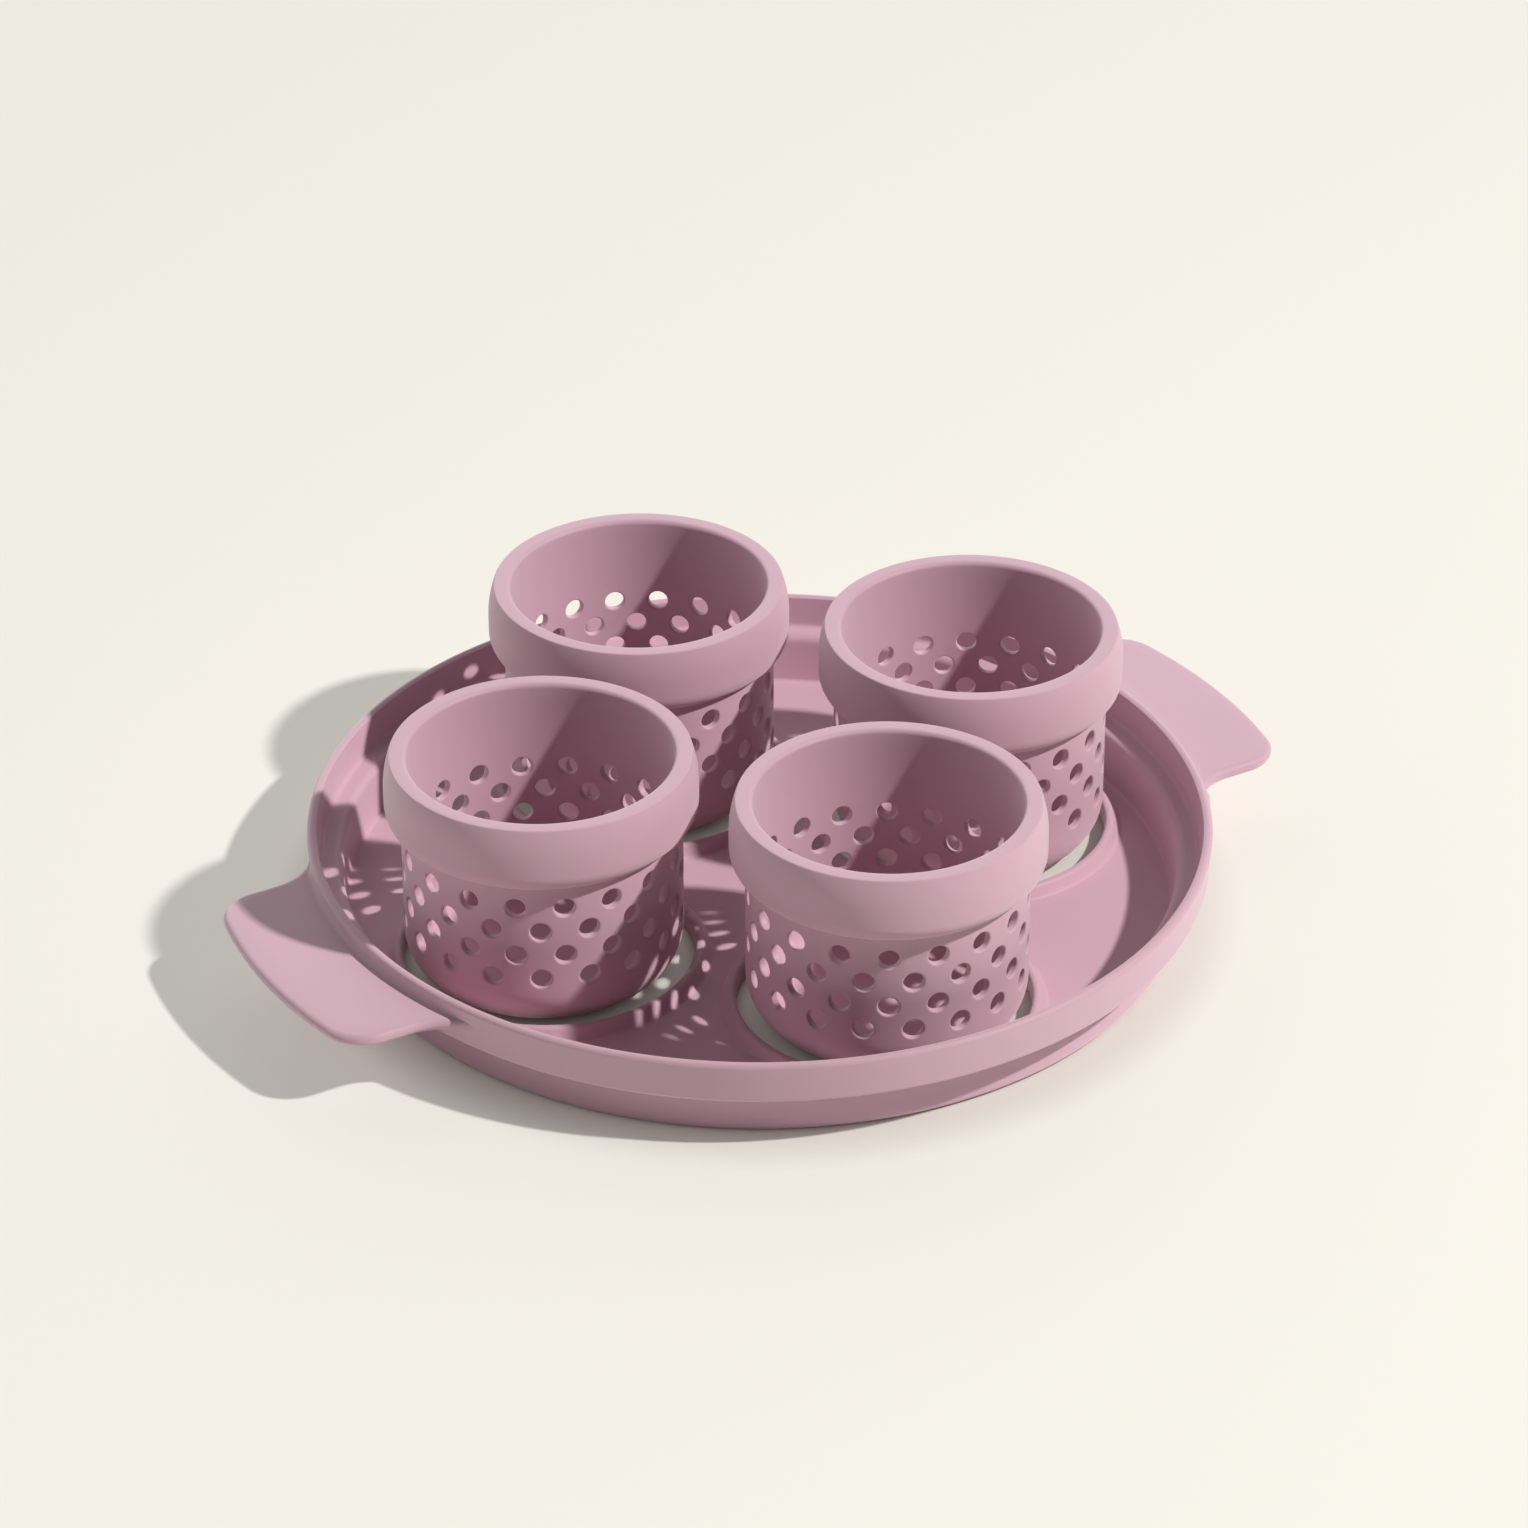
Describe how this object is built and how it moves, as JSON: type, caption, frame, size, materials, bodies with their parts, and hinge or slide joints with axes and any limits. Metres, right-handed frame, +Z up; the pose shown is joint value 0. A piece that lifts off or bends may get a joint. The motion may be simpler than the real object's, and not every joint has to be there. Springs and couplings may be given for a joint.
{
  "type": "egg poacher insert",
  "caption": "Round stepped silicone poaching tray with two handle tabs and seat rings, and perforated silicone egg cups standing in its holes",
  "frame": {"origin": "middle of the tray, on the flat plane that the tray and the cups stand on", "axes": "+Z up; the two handles point along +X and -X; the cups stand on the X and Y axes"},
  "size_m": [0.329, 0.2702, 0.0721],
  "materials": {
    "silicone": "matte dusty pink moulded silicone with a soft satin sheen"
  },
  "bodies": {
    "tray": {"tray": "silicone"},
    "cup_left": {"cup_left": "silicone"},
    "cup_front": {"cup_front": "silicone"},
    "cup_back": {"cup_back": "silicone"},
    "cup_right": {"cup_right": "silicone"}
  },
  "joints": [
    {"name": "cup_left_lift", "type": "slide", "parent": "tray", "child": "cup_left", "axis": [0, 0, 1], "range_m": [-0.0452, 0.08]},
    {"name": "cup_front_lift", "type": "slide", "parent": "tray", "child": "cup_front", "axis": [0, 0, 1], "range_m": [-0.0452, 0.08]},
    {"name": "cup_back_lift", "type": "slide", "parent": "tray", "child": "cup_back", "axis": [0, 0, 1], "range_m": [-0.0452, 0.08]},
    {"name": "cup_right_lift", "type": "slide", "parent": "tray", "child": "cup_right", "axis": [0, 0, 1], "range_m": [-0.0452, 0.08]}
  ]
}
